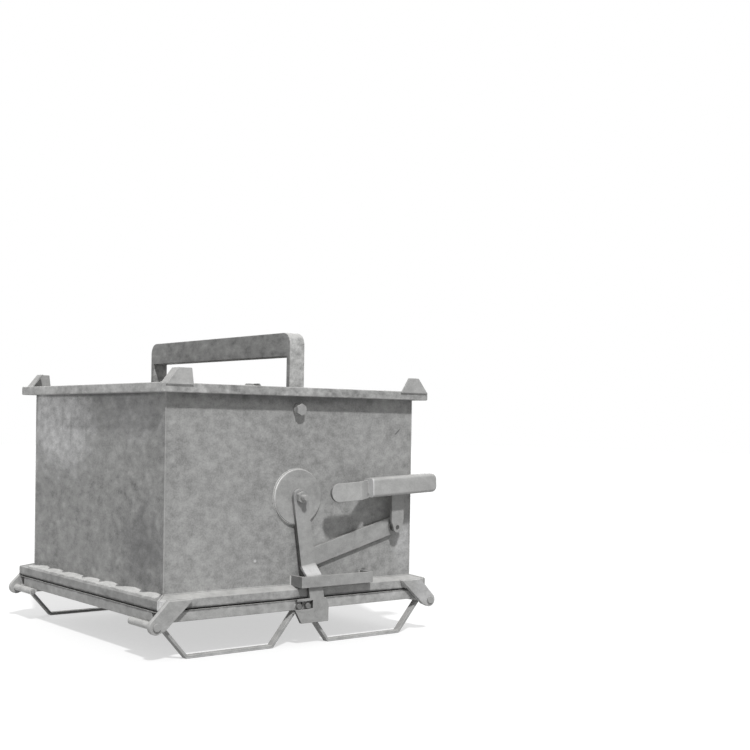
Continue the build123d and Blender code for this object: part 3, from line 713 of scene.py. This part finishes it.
def hexagon(name, z, seat, end, flats):
    """A hexagon along Y from its seat to its outer end, where the corners are turned off."""
    height = abs(end - seat)
    place = (0, (seat + end) / 2, z)
    face_radius = turned_face * flats
    clear()
    bpy.ops.mesh.primitive_cylinder_add(
        vertices=6, radius=flats / math.sqrt(3), depth=height,
        location=place, rotation=(math.pi / 2, 0, 0))
    head = bpy.context.active_object
    head.name = name
    way = Vector((0, 1 if end > seat else -1, 0))
    clear()
    bpy.ops.mesh.primitive_cone_add(
        vertices=72, radius1=face_radius + corner_fall * height, radius2=face_radius,
        depth=height + touch, location=place, rotation=way.to_track_quat("Z", "X").to_euler())
    cone = bpy.context.active_object
    for piece in (head, cone):
        settle(piece)
    boolean(head, "INTERSECT", cone)
    pick(head, "VERT", lambda p: True)
    bpy.ops.mesh.remove_doubles(threshold=0.00002)
    return broken_edges(head, edge=0)


def thread(start, end, radius, pitch):
    """A threaded end, with the crests as rings."""
    crests = ringed_rod("thread", start, end, radius, pitch, thread_depth * pitch, sides=32)
    return smooth(settle(crests), angle=25)


nut_low, nut_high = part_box("shaft_nuts")
nut_flats = nut_high.x - nut_low.x
nut_height = 0.014
shaft_thread_radius = 0.0096
shaft_thread_pitch = 0.0025
thread_in_nut = 0.001
plain_tip = 0.0015
dress("cross_shaft", steel_finish, "latch", "bare_steel", edge=0.0015)
shaft_ends = []
shaft_nuts = []
for tip, nut, way in zip(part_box("cross_shaft"), (nut_low, nut_high), (-1, 1)):
    inner, outer = (0, nut.y - way * thread_in_nut, shaft_z), (0, tip.y - way * plain_tip, shaft_z)
    shaft_ends.append(thread(inner, outer, shaft_thread_radius, shaft_thread_pitch))
    shaft_nuts.append(hexagon("nut", shaft_z, nut.y - way * nut_height, nut.y, nut_flats))
fit(joined("shaft_threads", shaft_ends), steel_finish, "latch", "bare_steel")
fit(joined("shaft_end_nuts", shaft_nuts), steel_finish, "latch", "bare_steel", "shaft_nuts")

# The lever guides: flat bar bent twice and welded to the wall over each lever, so that the hooks swing
# in one plane.
guide_bar = 0.008
# The guides' cut sides are painted dark, partly flame-cut scale and partly painted shade on their ends;
# their weld runs are painted pale, a painted highlight at the ends.
guide_finish = paint("guide_paint", 0.315, dust=0.5, rub=0.8, cut=(side_axis, 0.16, 0.8))
guide_weld_finish = paint("guide_weld_paint", 0.52, dust=0.5, rub=0.3, bump=0.4)
guide_seams = []
for side, wall_y in zip(("latch", "plain"), wall_sides):
    node = side + "_guide"
    dress(node, guide_finish, "shell", "mechanism_paint", edge=0.0012)
    low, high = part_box(node)
    for x in (low.x, low.x + guide_bar, high.x - guide_bar, high.x):
        guide_seams.append(seam((x, wall_y, low.z + weld_stop), (x, wall_y, high.z - weld_stop), leg=0.003))
fit(joined("guide_welds", guide_seams), guide_weld_finish, "shell", "mechanism_paint")

# The handle: a flat bar with a round end, stepped back into a heavy grip with rounded edges, and a strap
# welded behind the grip that stands on a collared stud at the release arm's far end.
grip_low, grip_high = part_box("handle_grip")
# A pale patch on the grip's near end: a painted highlight there.
grip_end_highlight = mark(
    (grip_low.x, grip_low.y + 0.03, 0.526), (0.012, 0.1, 0.12), 0.8, 0.3, cover=0.9, grey=0.62)
handle_finish = paint(
    "handle_paint", 0.385, blotch=0.4, mottle=0.5, dust=0.55, rub=0.8, cut=(side_axis, 0.12, 0.75))
strap_finish = paint("strap_paint", 0.33, dust=0.5, rub=0.8, cut=(side_axis, 0.22, 0.75))
grip_finish = paint(
    "grip_paint", 0.375, blotch=0.35, mottle=0.45, dust=0.5, rub=0.5, rough=0.55, marks=(grip_end_highlight,))
stud_finish = paint("stud_steel", 0.10, blotch=0.4, dust=0.2, rub=0.6, rough=0.55)
handle_weld_finish = paint("handle_weld_paint", 0.37, dust=0.4, rub=0.4, bump=0.4)
dress("handle_bar", handle_finish, "latch", "mechanism_paint", edge=0.0015)
dress("handle_grip", grip_finish, "latch", "mechanism_paint", edge=0)
dress("link_strap", strap_finish, "latch", "mechanism_paint", edge=0.0012)
dress("link_boss", stud_finish, "latch", "bare_steel", edge=0.001)

low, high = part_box("link_strap")
strap_eye = 0.018
strap_weld_foot = 0.5125
stud_x, stud_z = (low.x + high.x) / 2, low.z + strap_eye
stud_weld_radius = 0.0142
handle_seams = [ring_seam((stud_x, y, stud_z), stud_weld_radius, leg=0.0024) for y in (high.y, arm_face)]
for x in (low.x, high.x):
    handle_seams.append(seam((x, grip_high.y, strap_weld_foot), (x, grip_high.y, high.z), leg=0.003))
handle_seams.append(seam((low.x, grip_high.y, high.z), (high.x, grip_high.y, high.z), leg=0.003))
tongue_back = grip_high.y - 0.014
tongue_plate = 0.012
tongue_foot_x, tongue_foot_z = 0.2525, 0.5046
tongue_head_x, tongue_head_z = 0.2505, 0.5461
for y in (tongue_back, tongue_back - tongue_plate):
    foot, head = (tongue_foot_x, y, tongue_foot_z), (tongue_head_x, y, tongue_head_z)
    handle_seams.append(seam(foot, head, leg=0.0028))
fit(joined("handle_welds", handle_seams), handle_weld_finish, "latch", "mechanism_paint")

# The floor flaps: two leaves of plate on a frame of hollow bars, each hung at one end of the box. They
# close the bottom and swing down to let the load go. Welded, painted, scoured above.
# The rails carry the painted shade along the gap under the frame.
flap_finish = paint("flap_paint", 0.375, blotch=0.6, mottle=1.2, dust=0.7, rub=0.6, marks=(painted_gap_shade,))
floor_finish = paint("scoured_floor", 0.29, blotch=0.8, mottle=0.6, grain=0.5, dust=0.7, rub=0.8, bump=0.5)
floor_stop = Vector((0.01, 0.01, 0))
for end in ("front", "rear"):
    body = end + "_flap"
    cross_rails = ("flap_centre_rail_" + end, "flap_end_rail_" + end)
    side_rails = ("flap_side_rail_" + end + "_latch", "flap_side_rail_" + end + "_plain")
    for node in cross_rails + side_rails:
        dress(node, flap_finish, body, "body_paint", edge=0.002)
    floor_node = "flap_floor_" + end
    dress(floor_node, floor_finish, body, "body_paint", edge=0.0008)
    low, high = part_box(floor_node)
    floor_seams = []
    start, stop = low + floor_stop, high - floor_stop
    for x in (low.x, high.x):
        floor_seams.append(seam((x, start.y, low.z), (x, stop.y, low.z), leg=0.003))
    for y in (low.y, high.y):
        floor_seams.append(seam((start.x, y, low.z), (stop.x, y, low.z), leg=0.003))
    for node in cross_rails:
        low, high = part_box(node)
        for y in (low.y, high.y):
            start, stop = (low.x + plate_stop, y, low.z), (high.x - plate_stop, y, low.z)
            floor_seams.append(seam(start, stop, leg=0.0026))
    fit(joined("floor_welds_" + end, floor_seams), flap_finish, body, "body_paint")

# The feet: flat bar bent to a flat-bottomed loop under each side of each flap and welded to the rail.
# Their lower runs are rubbed bright by the ground.
ground_rub = mark((0, 0, 0.0), (endless, endless, 0.010), 0.9, 0.8, cover=0.7, grey=0.52)
foot_finish = paint("foot_paint", 0.36, blotch=0.6, mottle=0.9, dust=0.7, rub=1.0, marks=(ground_rub,))
for end in ("front", "rear"):
    feet_seams = []
    for side in ("latch", "plain"):
        node = "foot_" + end + "_" + side
        dress(node, foot_finish, end + "_flap", "body_paint", edge=0.0015)
        low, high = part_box(node)
        for x in (low.x, high.x):
            start, stop = (x, low.y + plate_stop, high.z), (x, high.y - plate_stop, high.z)
            feet_seams.append(seam(start, stop, leg=0.0035))
    fit(joined("foot_welds_" + end, feet_seams), foot_finish, end + "_flap", "body_paint")

# The hinges: a thick bracket on each side of the frame, a headed pin through it, and on the flap a leaf
# with a tube that turns on the pin.
rear_bracket = mark((0.545, frame_low.y, 0.150), (0.10, 0.04, 0.09), 0.5, 0.5, cover=0.9, grey=0.44)
# The brackets' cut sides are painted lighter than their faces: a painted highlight along the edges.
hinge_finish = paint(
    "hinge_paint", 0.365, dust=0.6, rub=0.8, cut=(side_axis, 0.50, 0.85), marks=(rear_bracket,))
leaf_finish = paint("hinge_leaf_paint", 0.54, blotch=0.6, mottle=1.0, dust=0.8, rub=0.8)
leaf_in = 0.004
leaf_length = 0.146
bracket_near, bracket_far = frame_high.x - 0.115, 0.5095
top_weld_end = 0.509
near_foot_x, near_foot_z = bracket_near + 0.0295, 0.161
far_foot_x, far_foot_z = 0.5380, 0.1615
bracket_seams = []
for end, out in (("front", -1), ("rear", 1)):
    dress("hinge_leaves_" + end, leaf_finish, end + "_flap", "body_paint", edge=0.001)
    rail_low, rail_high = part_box("flap_end_rail_" + end)
    inner_x = rail_low.x if out > 0 else rail_high.x
    leaf_seams = []
    for side, side_y, tuck in zip(("latch", "plain"), frame_sides, (1, -1)):
        start = side_y + tuck * leaf_in
        stop = start + tuck * leaf_length
        leaf_seams.append(seam((inner_x, start, rail_low.z), (inner_x, stop, rail_low.z), leg=0.003))
        node = "hinge_bracket_" + end + "_" + side
        dress(node, hinge_finish, "shell", "body_paint", edge=0.0015)
        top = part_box(node)[1].z
        near = out * bracket_near
        for run in (
            ((near, side_y, top), (out * top_weld_end, side_y, top)),
            ((near, side_y, top - weld_stop), (out * near_foot_x, side_y, near_foot_z)),
            ((out * bracket_far, side_y, top), (out * far_foot_x, side_y, far_foot_z)),
        ):
            bracket_seams.append(seam(*run, leg=0.003))
    fit(joined("hinge_leaf_welds_" + end, leaf_seams), leaf_finish, end + "_flap", "body_paint")
fit(joined("hinge_bracket_welds", bracket_seams), hinge_finish, "shell", "body_paint")
dress("hinge_pins", steel_finish, "shell", "bare_steel", edge=0.0015)

# The keepers: short round pins welded into the flaps' side rails, which the hooks hold up. Bare steel,
# painted dark: partly old grease, partly painted shade in the hooks' notches.
greasy_and_shaded_finish = paint(
    "greasy_steel_and_painted_shade", 0.16, blotch=0.8, mottle=1.0, grain=0.5, dust=0.3, rub=0.6, rough=0.45, bump=0.3)
keeper_weld_radius = 0.0102
for end in ("front", "rear"):
    node = "keepers_" + end
    dress(node, greasy_and_shaded_finish, end + "_flap", "bare_steel", edge=0.002)
    pin = sum(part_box(node), Vector()) / 2
    rail = "flap_side_rail_" + end
    keeper_seams = []
    for y in (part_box(rail + "_latch")[0].y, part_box(rail + "_plain")[1].y):
        keeper_seams.append(ring_seam((pin.x, y, pin.z), keeper_weld_radius, leg=0.0024))
    fit(joined("keeper_welds_" + end, keeper_seams), flap_finish, end + "_flap", "body_paint")

# The bail: a thick flat bar bent to a wide arch that hangs on the forks, with a square hollow bar welded
# under its top run and ground flush. It turns on two bolts and folds down inside the rim.
end_axis = (1, 0, 0)
# The bail's faces that don't face along X are painted lighter than those that do: a painted highlight on
# the sides turned to the light.
bail_finish = paint(
    "bail_paint", 0.29, blotch=0.8, mottle=2.0, grain=0.8, dust=0.7, rub=1.0, cut=(end_axis, 0.40, 1.0))
bail_arch = copied("bail_strap")
box_low, box_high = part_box("bail_box")
weld_in = 0.0205
weld_lap = 0.004
fillings = [copied("bail_box")]
for way, end_y in ((-1, box_low.y), (1, box_high.y)):
    start, end = sorted((end_y - way * weld_in, end_y + way * weld_lap))
    low, high = (box_low.x, start, box_high.z - weld_in), (box_high.x, end, box_high.z + weld_lap)
    fillings.append(block("filling", low, high))
for filling in fillings:
    boolean(bail_arch, "UNION", filling)
bail_arch.name = "bail_arch"
bail_arch = broken_edges(tidy_mesh(bail_arch), edge=0.0018)
fit(bail_arch, bail_finish, "bail", "body_paint", "bail_strap", "bail_box")

# The bail's bolts: large hexagon bolts through the side walls, with thick washers outside, spacers
# inside, and nuts on the inner side of the bail.
pin_low, pin_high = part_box("bail_pins")
bolt_z = (pin_low.z + pin_high.z) / 2
bolt_flats = pin_high.x - pin_low.x
bolt_radius = 0.012
bolt_head = 0.015
bolt_nut = 0.019
bolt_tail = 0.003
bolt_thread_radius = 0.0108
bolt_thread_pitch = 0.003
bolts = []
bolt_nuts = []
shank_ends = (box_low.y, box_high.y)
for tip, nut, shank_end, way in zip((pin_low, pin_high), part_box("bail_nuts"), shank_ends, (-1, 1)):
    seat = tip.y - way * bolt_head
    nut_end = nut.y - way * bolt_nut
    bolts.append(hexagon("bolt_head", bolt_z, seat, tip.y, bolt_flats))
    clear()
    bpy.ops.mesh.primitive_cylinder_add(
        vertices=48, radius=bolt_radius, depth=abs(seat - shank_end),
        location=(0, (seat + shank_end) / 2, bolt_z), rotation=(math.pi / 2, 0, 0))
    bolts.append(broken_edges(settle(bpy.context.active_object), edge=0.0008))
    tail = (0, nut_end - way * bolt_tail, bolt_z)
    bolts.append(thread((0, shank_end, bolt_z), tail, bolt_thread_radius, bolt_thread_pitch))
    bolt_nuts.append(hexagon("bolt_nut", bolt_z, nut.y, nut_end, bolt_flats))
fit(joined("bail_bolts", bolts), steel_finish, "shell", "bare_steel", "bail_pins")
fit(joined("bail_bolt_nuts", bolt_nuts), steel_finish, "shell", "bare_steel", "bail_nuts")
dress("bail_washers", steel_finish, "shell", "bare_steel", edge=0.0012)


# The stage: a wide pale floor just under the feet that keeps the shadow and shows white to the camera, an
# even white surround, a key light from high behind the camera and a weak, broad fill from the far side.
def seen_directly(tree):
    """1 where it is seen, straight, in a reflection or through glass, and 0 where it lights things."""
    seen = put(tree, "LightPath", {}).outputs
    through = sums(tree, "MAXIMUM", seen["Is Glossy Ray"], seen["Is Transmission Ray"])
    return sums(tree, "MAXIMUM", seen["Is Camera Ray"], through)


def sunlight(name, energy, angle, travel):
    """A lamp that lights everything along one direction, from a disc this many degrees wide."""
    lamp = bpy.data.lights.new(name, "SUN")
    lamp.energy = energy
    lamp.angle = math.radians(angle)
    holder = bpy.data.objects.new(name, lamp)
    holder.rotation_euler = Vector(travel).to_track_quat("-Z", "Y").to_euler()
    bpy.context.scene.collection.objects.link(holder)


floor_width = 60
floor_drop = 0.0004
floor_grey = 0.45
floor_glow = 0.57
surround_light = 0.43
clear()
bpy.ops.mesh.primitive_plane_add(size=floor_width, location=(0, 0, -floor_drop))
floor = bpy.context.active_object
floor.name = "studio_floor"
floor_paint = bpy.data.materials.new("studio_floor_paint")
floor_paint.use_nodes = True
tree = floor_paint.node_tree
shader = tree.nodes["Principled BSDF"]
shader.inputs["Base Color"].default_value = (floor_grey, floor_grey, floor_grey, 1)
shader.inputs["Roughness"].default_value = 0.9
shader.inputs["Specular IOR Level"].default_value = 0.0
glow = put(tree, "Emission", {"Strength": sums(tree, "MULTIPLY", seen_directly(tree), floor_glow)})
both = put(tree, "AddShader", {0: shader.outputs[0], 1: glow.outputs[0]})
tree.links.new(both.outputs[0], tree.nodes["Material Output"].inputs["Surface"])
floor.data.materials.append(floor_paint)

world = bpy.data.worlds.new("white_surround")
bpy.context.scene.world = world
world.use_nodes = True
tree = world.node_tree
surround = tree.nodes["Background"]
surround.inputs["Color"].default_value = (1, 1, 1, 1)
surround.inputs["Strength"].default_value = surround_light
white = put(tree, "Background", {"Color": (1, 1, 1, 1), "Strength": 1.0})
either = put(tree, "MixShader", {0: seen_directly(tree), 1: surround.outputs[0], 2: white.outputs[0]})
tree.links.new(either.outputs[0], tree.nodes["World Output"].inputs["Surface"])

sunlight("key_light", energy=2.6, angle=4, travel=(0.4, 1.0, -1.28))
sunlight("fill_light", energy=0.9, angle=40, travel=(-0.6, -1.0, -0.6))

# The camera stands where the photograph was taken from, a little below the rim's height. It looks almost
# level past the container's middle, and a shift of the lens gives the photograph's framing.
view_from = Vector((-2.32644, -3.86184 + middle.y, 0.74354))
view_yaw = math.radians(38.944)
view_pitch = math.radians(-0.681)
view_roll = math.radians(0.924)
level_ahead = Vector((math.sin(view_yaw), math.cos(view_yaw), 0))
ahead = math.cos(view_pitch) * level_ahead + math.sin(view_pitch) * Vector((0, 0, 1))
level = Vector((math.cos(view_yaw), -math.sin(view_yaw), 0))
rise = level.cross(ahead)
right = math.cos(view_roll) * level + math.sin(view_roll) * rise
top = math.cos(view_roll) * rise - math.sin(view_roll) * level
lens = bpy.data.cameras.new("photo_camera")
lens.sensor_width = 36
lens.lens = 57.937
lens.shift_x = -0.01668
lens.shift_y = 0.08635
camera = bpy.data.objects.new("photo_camera", lens)
camera.matrix_world = Matrix.Translation(view_from) @ Matrix((right, top, -ahead)).transposed().to_4x4()
bpy.context.scene.collection.objects.link(camera)
bpy.context.scene.camera = camera
bpy.context.scene.view_settings.view_transform = "Standard"
